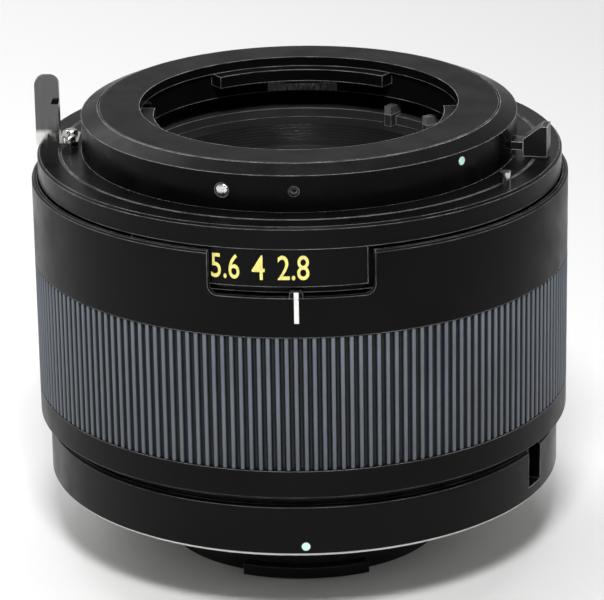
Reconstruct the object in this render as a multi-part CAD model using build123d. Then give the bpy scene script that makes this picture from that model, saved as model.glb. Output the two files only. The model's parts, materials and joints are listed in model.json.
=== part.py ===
from build123d import *
import os
from math import asin, copysign, cos, radians, sin

# Millimetres. The optical axis is Z, the camera side is at the bottom and the lens side on top.
# Angles are measured round the axis from the front (-Y) towards +X, seen from above.

# Heights of the body, from the camera side up
REAR_TUBE_LENGTH = 8.8
REAR_RING_HEIGHT = 6.6
REAR_GROOVE_HEIGHT = 1.2
BARREL_HEIGHT = 30.5
SCALE_GAP = 0.35
SCALE_FLANGE_HEIGHT = 2.7
COLLAR_RISE = 4.45
COLLAR_SLOPE = 0.9

# Clearances
TURN_CLEARANCE = 0.05
FREE_CLEARANCE = 0.3
FIT_CLEARANCE = 0.02
CUT_OVERRUN = 1.0

# Main barrel
BARREL_RADIUS = 33.0
BARREL_WALL = 4.4
BARREL_BORE_RADIUS = BARREL_RADIUS - BARREL_WALL
BARREL_EDGE_CHAMFER = 0.25
SPIGOT_WALL = 1.65
GROOVE_DEPTH = 2.0
GROOVE_RADIUS = BARREL_RADIUS - GROOVE_DEPTH
SKIN_THICKNESS = 0.65
SKIN_INNER_RADIUS = BARREL_RADIUS - SKIN_THICKNESS
SKIN_POCKET_DEPTH = 5.9
WEB_THICKNESS = 2.0
WEB_LEVEL = 9.4
NOTCH_DEPTH = 5.3
NOTCH_START = -19.3
NOTCH_END = 15.0
NOTCH_CORNER = 1.2

# Rubber grip
GRIP_START = 3.6
GRIP_LENGTH = 16.7
GRIP_THICKNESS = 1.25
GRIP_GROOVE_DEPTH = 0.5
GRIP_RIBS = 190
GRIP_CREST_SHARE = 0.5

# Front collar and the female bayonet in it
BAR_THICKNESS = 1.3
BAR_OUTER_RADIUS = BARREL_BORE_RADIUS - FREE_CLEARANCE
BAR_INNER_RADIUS = BAR_OUTER_RADIUS - BAR_THICKNESS
COLLAR_RADIUS = BAR_INNER_RADIUS - FREE_CLEARANCE
COLLAR_WALL = 1.5
COLLAR_SEAT_WALL = 2.05
COLLAR_SEAT_RADIUS = COLLAR_RADIUS - COLLAR_SEAT_WALL
COLLAR_LEDGE_WIDTH = 1.75
COLLAR_GUIDE_RADIUS = COLLAR_SEAT_RADIUS - COLLAR_LEDGE_WIDTH
COLLAR_LEDGE_DROP = 4.6
PLATE_RADIUS = COLLAR_SEAT_RADIUS - TURN_CLEARANCE
PLATE_WIDTH = 5.1
THROAT_RADIUS = PLATE_RADIUS - PLATE_WIDTH
PLATE_THICKNESS = 1.2
THROAT_LIP = 0.4
THROAT_WALL_RADIUS = THROAT_RADIUS + THROAT_LIP
CLAW_REACH = 1.7
CLAW_RADIUS = THROAT_RADIUS - CLAW_REACH
CLAW_THICKNESS = 1.5
CLAW_COUNT = 3
CLAW_GAP_MIDDLE = -121.5
CLAW_GAP_ANGLE = 50.0
PLATE_CHAMFER = 0.15
SPRING_THICKNESS = 0.4
SPRING_WIDTH = 1.3
SPRING_ANGLE = 26.0
SPRING_DROP = 0.4
SPRING_SCREW_ANGLES = (-8.5, 8.5)
SPRING_SCREW_RADIUS = 0.55
SPRING_SCREW_LENGTH = 1.1
STOP_PIN_ANGLE = -103.0
STOP_PIN_RADIUS = 0.6
STOP_PIN_REACH = 1.9

# Screws and dots on the collar's side
COLLAR_SCREW_ANGLES = (-20.0, 100.0, 220.0)
COLLAR_SCREW_DROP = 2.1
SCREW_HEAD_RADIUS = 0.85
SCREW_HEAD_HEIGHT = 0.5
SCREW_SHANK_RADIUS = 0.5
COLLAR_SCREW_LENGTH = 3.0
SET_SCREW_ANGLE = -1.6
SET_SCREW_DROP = 1.9
SET_SCREW_RADIUS = 0.6
SET_SCREW_RECESS = 0.35
SET_SCREW_LENGTH = 2.6
DOT_RADIUS = 0.5
DOT_THICKNESS = 0.3
DOT_STAND = 0.05
FRONT_DOT_ANGLE = 45.6
FRONT_DOT_DROP = 1.1
REAR_DOT_ANGLE = 0.0
REAR_DOT_RISE = 1.3

# Front light baffle
BAFFLE_SETBACK = 1.6
BAFFLE_RADIUS = THROAT_RADIUS - BAFFLE_SETBACK
BAFFLE_WALL = 0.8
BAFFLE_STRAIGHT = 3.0
BAFFLE_STEP_HEIGHT = 1.2
BAFFLE_STEP_WIDTH = 1.0
BAFFLE_STEP_COUNT = 3
BAFFLE_FLANGE_THICKNESS = 1.0
BAFFLE_DROP = 8.3

# Aperture scale ring and what turns with it
SCALE_SETBACK = 0.8
SCALE_RADIUS = BARREL_RADIUS - SCALE_SETBACK
SCALE_EDGE_CHAMFER = 0.3
PAD_RADIUS = SKIN_INNER_RADIUS - FREE_CLEARANCE
PAD_HEIGHT = 0.45
SKIRT_RADIUS = PAD_RADIUS - PAD_HEIGHT
SKIRT_WALL = 1.0
SKIRT_LENGTH = 5.4
PAD_LENGTH = 4.6
PAD_START = -38.0
PAD_END = 13.9
SHELF_LINE_PLACE = 2.9
SHELF_LINE_RADIUS = SCALE_RADIUS - SHELF_LINE_PLACE
SHELF_LINE_WIDTH = 0.25
SHELF_LINE_DEPTH = 0.15
CLIP_STAND = 0.45
CLIP_RADIUS = COLLAR_RADIUS + CLIP_STAND
CLIP_WIDTH = 0.9
CLIP_THICKNESS = 0.6
CLIP_DROP = 1.0
CLIP_GAP_ANGLE = 12.0
SCALE_TURN = 15.5
LEVER_ANGLE = -92.5
LEVER_HEIGHT = 8.8
LEVER_SETBACK = 0.6
LEVER_OUTER_RADIUS = BARREL_RADIUS - LEVER_SETBACK
LEVER_PRONG_WIDTH = 3.0
LEVER_FOOT_OUTER_RADIUS = LEVER_OUTER_RADIUS - LEVER_PRONG_WIDTH
LEVER_SHEET = 0.9
LEVER_RETURN_WIDTH = 2.2
LEVER_RETURN_HEIGHT = 5.6
LEVER_ROUND = 1.2
LEVER_FOOT_LENGTH = 2.3
LEVER_FOOT_RADIUS = LEVER_FOOT_OUTER_RADIUS - LEVER_FOOT_LENGTH
LEVER_FOOT_WIDTH = 5.4
LEVER_FOOT_CHAMFER = 0.8
LEVER_SCREW_RADIUS = (LEVER_FOOT_RADIUS + LEVER_FOOT_OUTER_RADIUS) / 2
LEVER_SCREW_OFFSET = 1.3
LEVER_SCREW_LENGTH = 1.6
STUD_ANGLE = 55.6
STUD_SETBACK = 2.7
STUD_PLACE_RADIUS = SCALE_RADIUS - STUD_SETBACK
STUD_RADIUS = 0.7
STUD_HEIGHT = 1.3
STUD_SHANK_RADIUS = 0.4
STUD_SHANK_LENGTH = 1.5
BAR_ANGLES = (60.0, 180.0, 300.0)
BAR_ANGLE_WIDTH = 8.0
BAR_SLOT_MARGIN = 1.5
COUPLING_RING_HEIGHT = 1.4
LUG_ANGLE = 180.0
LUG_ANGLE_WIDTH = 8.0
LUG_LENGTH = 5.6

# Stop-down ring, which the lens pushes from inside the throat
STOP_DOWN_TURN = 12.0
STOP_RING_WIDTH = 2.55
STOP_RING_OUTER = COLLAR_GUIDE_RADIUS - TURN_CLEARANCE
STOP_RING_INNER = STOP_RING_OUTER - STOP_RING_WIDTH
STOP_RING_HEIGHT = 1.2
STOP_TAB_ANGLES = (124.5, 144.0)
STOP_TAB_WIDTH = 3.0
STOP_TAB_REACH = 1.1
STOP_TAB_RADIUS = STOP_RING_INNER - STOP_TAB_REACH
STOP_TAB_HEIGHT = 2.6
STOP_BAR_ANGLE = -150.0
STOP_BAR_WIDTH = 6.0
STOP_BAR_SETBACK = 0.4
STOP_BAR_THICKNESS = 1.2
STOP_BAR_INNER = STOP_RING_INNER + STOP_BAR_SETBACK
STOP_BAR_OUTER = STOP_BAR_INNER + STOP_BAR_THICKNESS
STOP_ARM_THICKNESS = 1.0
STOP_TIP_THICKNESS = 1.0
STOP_TIP_END = 3.0

# Lens release slide
RELEASE_ANGLE = 76.5
RELEASE_WIDTH = 2.5
RELEASE_STAND = 1.35
RELEASE_INNER = COLLAR_RADIUS + RELEASE_STAND
RELEASE_LENGTH = 2.95
RELEASE_OUTER = RELEASE_INNER + RELEASE_LENGTH
RELEASE_HEIGHT = 3.8
RELEASE_LOW_HEIGHT = 2.15
RELEASE_FLAT = 0.8
TONGUE_THICKNESS = 1.0
TONGUE_REACH = 0.3
TONGUE_TIP_RADIUS = THROAT_RADIUS - TONGUE_REACH
TONGUE_WIDTH = 2.4
TONGUE_CHAMFER = 0.6
LEAF_THICKNESS = 0.2
LEAF_WIDTH = 2.0
LEAF_SETBACK = 0.7
LEAF_INNER = THROAT_WALL_RADIUS + LEAF_SETBACK
LEAF_OUTER = PLATE_RADIUS - FREE_CLEARANCE

# Rear mount ring
REAR_RING_SETBACK = 1.15
REAR_RING_RADIUS = BARREL_RADIUS - REAR_RING_SETBACK
REAR_EDGE_CHAMFER = 0.35
REAR_PLATE_THICKNESS = 3.1
REAR_PLATE_MARGIN = 3.15
REAR_SEAT_RADIUS = BAR_INNER_RADIUS - REAR_PLATE_MARGIN
REAR_LEDGE_WIDTH = 3.05
REAR_LEDGE_RADIUS = REAR_SEAT_RADIUS - REAR_LEDGE_WIDTH
LOCK_NOTCH_ANGLE = 62.4
LOCK_NOTCH_WIDTH = 3.4
LOCK_NOTCH_DEPTH = 4.9

# Rear male bayonet
REAR_TUBE_SETBACK = 2.1
REAR_TUBE_RADIUS = THROAT_RADIUS - REAR_TUBE_SETBACK
REAR_TUBE_WALL = 1.2
STOP_TIP_RADIUS = REAR_TUBE_RADIUS - REAR_TUBE_WALL - FREE_CLEARANCE - STOP_TIP_THICKNESS
REAR_CLAW_REACH = 1.6
REAR_CLAW_RADIUS = REAR_TUBE_RADIUS + REAR_CLAW_REACH
REAR_CLAW_THICKNESS = 1.4
REAR_CLAW_RISE = 0.1
REAR_CLAW_ANGLE = 48.0
REAR_CLAW_MIDDLE = 0.0
REAR_FLANGE_THICKNESS = 1.5
REAR_SCREW_ANGLES = (45.0, 135.0, 225.0, 315.0)
REAR_SCREW_PLACE_RADIUS = (REAR_SEAT_RADIUS + REAR_LEDGE_RADIUS) / 2
REAR_SCREW_HEAD_RADIUS = 1.2
REAR_SCREW_HEAD_HEIGHT = 0.8
REAR_SCREW_SHANK_RADIUS = 0.75
REAR_SCREW_LENGTH = 2.6
MASK_THICKNESS = 0.6
MASK_WINDOW_LENGTH_SHARE = 0.577
MASK_WINDOW_WIDTH_SHARE = 0.433

# Optical cell and its glass
CELL_SETBACK = 0.7
CELL_RADIUS = BAFFLE_RADIUS - CELL_SETBACK
WEB_BORE_RADIUS = CELL_RADIUS + 2 * TURN_CLEARANCE
CELL_WALL = 1.6
CELL_GLASS_RADIUS = CELL_RADIUS - CELL_WALL
CELL_FLANGE_WIDTH = 2.4
CELL_FLANGE_RADIUS = CELL_RADIUS + CELL_FLANGE_WIDTH
CELL_FLANGE_THICKNESS = 1.2
CELL_REAR_STEP = 3.6
CELL_REAR_RADIUS = CELL_RADIUS - CELL_REAR_STEP
CELL_REAR_WALL = 1.4
CELL_REAR_GLASS_RADIUS = CELL_REAR_RADIUS - CELL_REAR_WALL
CELL_REAR_GAP = 1.8
CELL_STEP_LEVEL = 9.9
CELL_LIP = 1.8
CELL_LIP_WIDTH = 1.1
CELL_LIP_RADIUS = CELL_REAR_GLASS_RADIUS - CELL_LIP_WIDTH
CELL_WALL_STEP = 2.0
CELL_SCREW_ANGLES = (0.0, 120.0, 240.0)
CELL_SCREW_PLACE_RADIUS = CELL_RADIUS + CELL_FLANGE_WIDTH / 2
CELL_SCREW_HEAD_RADIUS = 0.9
CELL_SCREW_SHANK_RADIUS = 0.5
CELL_SCREW_LENGTH = 1.6
RETAINER_HEIGHT = 1.2
RETAINER_WIDTH = 1.3
SPACER_WIDTH = 1.1
GLASS_LAND = 1.4
FRONT_EDGE = 2.8
FRONT_SAGS = (0.7, 1.5)
FRONT_SPACER_HEIGHT = 2.0
SECOND_EDGE = 3.6
SECOND_SAGS = (0.0, -1.2)
THIRD_EDGE = 2.6
THIRD_SAGS = (-1.3, 0.0)
MIDDLE_SPACER_HEIGHT = 1.8
FOURTH_SAGS = (0.4, -0.6)
FIFTH_EDGE = 3.2
FIFTH_SAGS = (-0.7, -0.5)
REAR_SPACER_HEIGHT = 1.5
SIXTH_EDGE = 2.7
SIXTH_SAGS = (0.6, 0.5)

# Levels worked out from the heights
REAR_SEAT_Z = REAR_TUBE_LENGTH
REAR_RING_TOP_Z = REAR_SEAT_Z + REAR_RING_HEIGHT
REAR_PLATE_TOP_Z = REAR_SEAT_Z + REAR_PLATE_THICKNESS
BARREL_LOW_Z = REAR_RING_TOP_Z + REAR_GROOVE_HEIGHT
BARREL_TOP_Z = BARREL_LOW_Z + BARREL_HEIGHT
FLANGE_LOW_Z = BARREL_TOP_Z + SCALE_GAP
SHELF_Z = FLANGE_LOW_Z + SCALE_FLANGE_HEIGHT
COLLAR_EDGE_Z = SHELF_Z + COLLAR_RISE
FRONT_SEAT_Z = COLLAR_EDGE_Z + COLLAR_SLOPE
LEDGE_Z = FRONT_SEAT_Z - COLLAR_LEDGE_DROP
BAFFLE_RIM_Z = FRONT_SEAT_Z - BAFFLE_DROP
BAFFLE_LOW_Z = BAFFLE_RIM_Z - BAFFLE_STRAIGHT - BAFFLE_STEP_HEIGHT * BAFFLE_STEP_COUNT
CLAW_TOP_Z = FRONT_SEAT_Z - PLATE_THICKNESS
CLAW_LOW_Z = CLAW_TOP_Z - CLAW_THICKNESS
WEB_LOW_Z = BARREL_LOW_Z + WEB_LEVEL
WEB_TOP_Z = WEB_LOW_Z + WEB_THICKNESS
POCKET_Z = BARREL_TOP_Z - SKIN_POCKET_DEPTH
BEARING_TOP_Z = FLANGE_LOW_Z - TURN_CLEARANCE
BEARING_RADIUS = SKIRT_RADIUS - SKIRT_WALL - FREE_CLEARANCE
SPIGOT_RADIUS = BARREL_BORE_RADIUS + SPIGOT_WALL
GRIP_LOW_Z = BARREL_LOW_Z + GRIP_START
GRIP_SEAT_RADIUS = BARREL_RADIUS - GRIP_THICKNESS
SCALE_BORE_RADIUS = COLLAR_RADIUS + TURN_CLEARANCE
COLLAR_SCREW_Z = COLLAR_EDGE_Z - COLLAR_SCREW_DROP
SET_SCREW_Z = COLLAR_EDGE_Z - SET_SCREW_DROP
FRONT_DOT_Z = COLLAR_EDGE_Z - FRONT_DOT_DROP
REAR_DOT_Z = REAR_SEAT_Z + REAR_DOT_RISE
TONGUE_LOW_Z = LEDGE_Z + FREE_CLEARANCE
TONGUE_TOP_Z = TONGUE_LOW_Z + TONGUE_THICKNESS
STOP_RING_LOW_Z = BAFFLE_RIM_Z + TURN_CLEARANCE
STOP_ARM_LOW_Z = REAR_PLATE_TOP_Z + FREE_CLEARANCE
COUPLING_RING_LOW_Z = REAR_PLATE_TOP_Z + FREE_CLEARANCE
COUPLING_RING_TOP_Z = COUPLING_RING_LOW_Z + COUPLING_RING_HEIGHT
CELL_LOW_Z = REAR_PLATE_TOP_Z + CELL_REAR_GAP
CELL_STEP_Z = CELL_LOW_Z + CELL_STEP_LEVEL
FRONT_TURN = -90.0
FULL_TURN = 360.0


def ring(inner, outer, low, high):
    """A flat ring between two radii and two heights."""
    return Pos(0, 0, low) * extrude(Circle(outer) - Circle(inner), high - low)


def disc(radius, low, high):
    """A solid disc on the axis."""
    return Pos(0, 0, low) * extrude(Circle(radius), high - low)


def turned(points):
    """A turned piece from its (radius, height) outline."""
    return revolve(Plane.XZ * make_face(Polyline(*points, close=True)), Axis.Z)


def sector(inner, outer, low, high, start, end):
    """A piece of a ring from one angle to another."""
    outer_arc = CenterArc((0, 0), outer, start + FRONT_TURN, end - start)
    inner_arc = CenterArc((0, 0), inner, start + FRONT_TURN, end - start)
    first_side = Line(outer_arc @ 0, inner_arc @ 0)
    last_side = Line(outer_arc @ 1, inner_arc @ 1)
    face = make_face([outer_arc, inner_arc, first_side, last_side])
    return Pos(0, 0, low) * extrude(face, high - low)


def facing(angle, shape):
    """Turns a piece drawn on the +X side to its angle round the axis."""
    return Rot(0, 0, angle + FRONT_TURN) * shape


def block(inner, outer, width, low, high):
    """A straight-sided bar that runs outward along +X."""
    middle = ((inner + outer) / 2, 0, (low + high) / 2)
    return Pos(*middle) * Box(outer - inner, width, high - low)


def rod_out(radius, inner, outer, height):
    """A round rod along +X from one radius to another."""
    middle = ((inner + outer) / 2, 0, height)
    return Pos(*middle) * Rot(0, 90, 0) * Cylinder(radius, outer - inner)


def rod_up(radius, place_radius, low, high, side=0):
    """A round rod parallel to the axis, on the +X side."""
    return Pos(place_radius, side, (low + high) / 2) * Cylinder(radius, high - low)


def travel_slot(inner, outer, low, high, angle, width, turn):
    """The slot that a bar of this angular width needs to swing by turn."""
    start = angle - width / 2 - BAR_SLOT_MARGIN
    end = angle + width / 2 + turn + BAR_SLOT_MARGIN
    return sector(inner, outer, low, high, start, end)


def main_barrel():
    """The outer barrel: grip seat, window over the numbers, inner web and rear spigot."""
    chamfer_size = BARREL_EDGE_CHAMFER
    body = turned(
        [
            (BARREL_BORE_RADIUS, REAR_PLATE_TOP_Z),
            (SPIGOT_RADIUS, REAR_PLATE_TOP_Z),
            (SPIGOT_RADIUS, REAR_RING_TOP_Z),
            (GROOVE_RADIUS, REAR_RING_TOP_Z),
            (GROOVE_RADIUS, BARREL_LOW_Z),
            (BARREL_RADIUS - chamfer_size, BARREL_LOW_Z),
            (BARREL_RADIUS, BARREL_LOW_Z + chamfer_size),
            (BARREL_RADIUS, GRIP_LOW_Z),
            (GRIP_SEAT_RADIUS, GRIP_LOW_Z),
            (GRIP_SEAT_RADIUS, GRIP_LOW_Z + GRIP_LENGTH),
            (BARREL_RADIUS, GRIP_LOW_Z + GRIP_LENGTH),
            (BARREL_RADIUS, BARREL_TOP_Z - chamfer_size),
            (BARREL_RADIUS - chamfer_size, BARREL_TOP_Z),
            (SKIN_INNER_RADIUS, BARREL_TOP_Z),
            (SKIN_INNER_RADIUS, POCKET_Z),
            (BEARING_RADIUS, POCKET_Z),
            (BEARING_RADIUS, BEARING_TOP_Z),
            (BARREL_BORE_RADIUS, BEARING_TOP_Z),
            (BARREL_BORE_RADIUS, WEB_TOP_Z),
            (WEB_BORE_RADIUS, WEB_TOP_Z),
            (WEB_BORE_RADIUS, WEB_LOW_Z),
            (BARREL_BORE_RADIUS, WEB_LOW_Z),
        ]
    )
    window_low = BARREL_TOP_Z - NOTCH_DEPTH
    window = sector(
        SKIN_INNER_RADIUS - FREE_CLEARANCE,
        BARREL_RADIUS + CUT_OVERRUN,
        window_low,
        BARREL_TOP_Z + CUT_OVERRUN,
        NOTCH_START,
        NOTCH_END,
    )
    low_edges = window.edges().filter_by(GeomType.LINE).group_by(Axis.Z)[0]
    body -= fillet(low_edges, NOTCH_CORNER)
    slot_levels = (WEB_LOW_Z - CUT_OVERRUN, WEB_TOP_Z + CUT_OVERRUN)
    for angle in BAR_ANGLES:
        inner = COLLAR_RADIUS + TURN_CLEARANCE
        body -= travel_slot(inner, BARREL_BORE_RADIUS, *slot_levels, angle, BAR_ANGLE_WIDTH, SCALE_TURN)
    body -= travel_slot(
        STOP_BAR_INNER - FREE_CLEARANCE,
        STOP_BAR_OUTER + FREE_CLEARANCE,
        *slot_levels,
        STOP_BAR_ANGLE,
        STOP_BAR_WIDTH,
        STOP_DOWN_TURN,
    )
    for angle in CELL_SCREW_ANGLES:
        body -= facing(angle, rod_up(CELL_SCREW_SHANK_RADIUS, CELL_SCREW_PLACE_RADIUS, WEB_LOW_Z, WEB_TOP_Z))
    return body


def grip_sleeve():
    """The rubber sleeve, flush with the barrel, with a V groove between each two ribs."""
    pitch = FULL_TURN / GRIP_RIBS
    points = []
    for rib in range(GRIP_RIBS):
        start = rib * pitch
        crest_end = start + pitch * GRIP_CREST_SHARE
        groove = (crest_end + start + pitch) / 2
        corners = (
            (BARREL_RADIUS, start),
            (BARREL_RADIUS, crest_end),
            (BARREL_RADIUS - GRIP_GROOVE_DEPTH, groove),
        )
        for radius, angle in corners:
            points.append((radius * cos(radians(angle)), radius * sin(radians(angle))))
    outline = make_face(Polyline(*points, close=True))
    return Pos(0, 0, GRIP_LOW_Z) * extrude(outline - Circle(GRIP_SEAT_RADIUS), GRIP_LENGTH)


def front_collar():
    """The fixed collar that stands inside the scale ring and carries the female bayonet."""
    inner = COLLAR_RADIUS - COLLAR_WALL
    body = turned(
        [
            (inner, WEB_TOP_Z),
            (COLLAR_RADIUS, WEB_TOP_Z),
            (COLLAR_RADIUS, COLLAR_EDGE_Z),
            (COLLAR_SEAT_RADIUS, FRONT_SEAT_Z - FIT_CLEARANCE),
            (COLLAR_SEAT_RADIUS, LEDGE_Z),
            (COLLAR_GUIDE_RADIUS, LEDGE_Z),
            (COLLAR_GUIDE_RADIUS, BAFFLE_RIM_Z),
            (inner, BAFFLE_RIM_Z),
        ]
    )
    clip_high = SHELF_Z - CLIP_DROP
    body -= ring(CLIP_RADIUS - CLIP_WIDTH, COLLAR_RADIUS + CUT_OVERRUN, clip_high - CLIP_THICKNESS, clip_high)
    for angle in COLLAR_SCREW_ANGLES:
        body -= facing(angle, screw_out_space(COLLAR_SCREW_Z))
    hole_end = COLLAR_RADIUS + CUT_OVERRUN
    body -= facing(SET_SCREW_ANGLE, rod_out(SET_SCREW_RADIUS, PLATE_RADIUS, hole_end, SET_SCREW_Z))
    pocket = rod_out(DOT_RADIUS, COLLAR_RADIUS - DOT_THICKNESS, hole_end, FRONT_DOT_Z)
    body -= facing(FRONT_DOT_ANGLE, pocket)
    slot_width = TONGUE_WIDTH + 2 * FREE_CLEARANCE
    slot = block(COLLAR_GUIDE_RADIUS, hole_end, slot_width, LEDGE_Z, TONGUE_TOP_Z + FREE_CLEARANCE)
    body -= facing(RELEASE_ANGLE, slot)
    return body


def screw_out_space(height):
    """Head and shank space of a collar screw, drawn on the +X side."""
    head = rod_out(SCREW_HEAD_RADIUS, COLLAR_RADIUS - SCREW_HEAD_HEIGHT, COLLAR_RADIUS + CUT_OVERRUN, height)
    return head + rod_out(SCREW_SHANK_RADIUS, COLLAR_RADIUS - COLLAR_SCREW_LENGTH, COLLAR_RADIUS, height)


def collar_screws():
    """Three screws through the collar's side that hold the front bayonet ring."""
    head = rod_out(SCREW_HEAD_RADIUS, COLLAR_RADIUS - SCREW_HEAD_HEIGHT, COLLAR_RADIUS, COLLAR_SCREW_Z)
    screw = head + rod_out(
        SCREW_SHANK_RADIUS, COLLAR_RADIUS - COLLAR_SCREW_LENGTH, COLLAR_RADIUS, COLLAR_SCREW_Z
    )
    return Compound([facing(angle, screw).solid() for angle in COLLAR_SCREW_ANGLES])


def collar_set_screw():
    """The sunk headless screw at the front of the collar."""
    end = COLLAR_RADIUS - SET_SCREW_RECESS
    return facing(SET_SCREW_ANGLE, rod_out(SET_SCREW_RADIUS, end - SET_SCREW_LENGTH, end, SET_SCREW_Z))


def front_index_dot():
    """The round mounting mark on the collar."""
    inner = COLLAR_RADIUS - DOT_THICKNESS
    return facing(FRONT_DOT_ANGLE, rod_out(DOT_RADIUS, inner, COLLAR_RADIUS + DOT_STAND, FRONT_DOT_Z))


def claw_middles():
    """The middle angles of the three female claws."""
    pitch = FULL_TURN / CLAW_COUNT
    return [CLAW_GAP_MIDDLE + pitch * (index + 0.5) for index in range(CLAW_COUNT)]


def front_bayonet_ring():
    """The female bayonet: a plate with a round throat and three inward claws under it."""
    chamfer_size = PLATE_CHAMFER
    body = turned(
        [
            (THROAT_WALL_RADIUS, LEDGE_Z),
            (PLATE_RADIUS, LEDGE_Z),
            (PLATE_RADIUS, FRONT_SEAT_Z - chamfer_size),
            (PLATE_RADIUS - chamfer_size, FRONT_SEAT_Z),
            (THROAT_RADIUS, FRONT_SEAT_Z),
            (THROAT_RADIUS, CLAW_TOP_Z),
            (THROAT_WALL_RADIUS, CLAW_TOP_Z),
        ]
    )
    claw_angle = FULL_TURN / CLAW_COUNT - CLAW_GAP_ANGLE
    for middle in claw_middles():
        start = middle - claw_angle / 2
        outer = THROAT_WALL_RADIUS + PLATE_THICKNESS
        body += sector(CLAW_RADIUS, outer, CLAW_LOW_Z, CLAW_TOP_Z, start, start + claw_angle)
    for angle in COLLAR_SCREW_ANGLES:
        body -= facing(angle, screw_out_space(COLLAR_SCREW_Z))
    end = COLLAR_RADIUS - SET_SCREW_RECESS
    hole = rod_out(SET_SCREW_RADIUS, end - SET_SCREW_LENGTH, COLLAR_RADIUS, SET_SCREW_Z)
    body -= facing(SET_SCREW_ANGLE, hole)
    for angle in spring_screw_angles():
        body -= facing(angle, spring_screw_space())
    slot_width = TONGUE_WIDTH + 2 * FREE_CLEARANCE
    slot_low = LEDGE_Z - CUT_OVERRUN
    slot_top = TONGUE_TOP_Z + FREE_CLEARANCE + LEAF_THICKNESS
    slot = block(CLAW_RADIUS, COLLAR_RADIUS, slot_width, slot_low, slot_top)
    body -= facing(RELEASE_ANGLE, slot)
    return body


def spring_level():
    """The top of the leaf springs, a little under the claws."""
    return CLAW_LOW_Z - SPRING_DROP


def spring_screw_angles():
    """Two screws for each leaf spring."""
    return [middle + offset for middle in claw_middles() for offset in SPRING_SCREW_ANGLES]


def spring_screw_space():
    """The radial hole of a spring screw, drawn on the +X side."""
    inner = THROAT_WALL_RADIUS - SPRING_THICKNESS
    outer = THROAT_WALL_RADIUS + SPRING_SCREW_LENGTH
    return rod_out(SPRING_SCREW_RADIUS, inner, outer, spring_level() - SPRING_WIDTH / 2)


def bayonet_springs():
    """Three bent leaf springs under the claws that press the lens against the seat."""
    high = spring_level()
    low = high - SPRING_WIDTH
    springs = []
    for middle in claw_middles():
        start = middle - SPRING_ANGLE / 2
        outer = THROAT_WALL_RADIUS - SPRING_THICKNESS
        upright = sector(outer, THROAT_WALL_RADIUS, low, high, start, start + SPRING_ANGLE)
        leaf_start = middle - SPRING_ANGLE / 4
        leaf = sector(
            CLAW_RADIUS + SPRING_THICKNESS,
            THROAT_WALL_RADIUS,
            high - SPRING_THICKNESS,
            high,
            leaf_start,
            leaf_start + SPRING_ANGLE / 2,
        )
        springs.append((upright + leaf).solid())
    return Compound(springs)


def bayonet_spring_screws():
    """The small screws that hold the leaf springs to the throat's wall."""
    height = spring_level() - SPRING_WIDTH / 2
    head_end = THROAT_WALL_RADIUS - SPRING_THICKNESS - FIT_CLEARANCE
    head = rod_out(SPRING_SCREW_RADIUS, head_end - SPRING_THICKNESS, head_end, height)
    shank = rod_out(SPRING_SCREW_RADIUS, THROAT_WALL_RADIUS, THROAT_WALL_RADIUS + SPRING_SCREW_LENGTH, height)
    screws = []
    for angle in spring_screw_angles():
        screws.append(facing(angle, head).solid())
        screws.append(facing(angle, shank).solid())
    return Compound(screws)


def bayonet_stop_pin():
    """The hardened pin under the plate that stops the lens claw at the end of its turn."""
    place_radius = THROAT_WALL_RADIUS - STOP_PIN_RADIUS - FIT_CLEARANCE
    pin = rod_up(STOP_PIN_RADIUS, place_radius, CLAW_TOP_Z - STOP_PIN_REACH, CLAW_TOP_Z)
    return facing(STOP_PIN_ANGLE, pin)


def front_light_baffle():
    """The blackened tube inside the throat, stepped down to the front glass."""
    outer = BAFFLE_RADIUS + BAFFLE_WALL
    flange = COLLAR_RADIUS - COLLAR_WALL - FIT_CLEARANCE
    flange_low = BAFFLE_RIM_Z - BAFFLE_FLANGE_THICKNESS
    points = [
        (outer, BAFFLE_LOW_Z),
        (outer, flange_low),
        (flange, flange_low),
        (flange, BAFFLE_RIM_Z),
        (BAFFLE_RADIUS, BAFFLE_RIM_Z),
    ]
    level = BAFFLE_RIM_Z - BAFFLE_STRAIGHT
    radius = BAFFLE_RADIUS
    for _ in range(BAFFLE_STEP_COUNT):
        points.append((radius, level))
        radius -= BAFFLE_STEP_WIDTH
        points.append((radius, level))
        level -= BAFFLE_STEP_HEIGHT
    points.append((radius, BAFFLE_LOW_Z))
    body = turned(points)
    body -= travel_slot(
        STOP_BAR_INNER - FREE_CLEARANCE,
        STOP_BAR_OUTER + FREE_CLEARANCE,
        flange_low - CUT_OVERRUN,
        BAFFLE_RIM_Z + CUT_OVERRUN,
        STOP_BAR_ANGLE,
        STOP_BAR_WIDTH,
        STOP_DOWN_TURN,
    )
    return body


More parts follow.
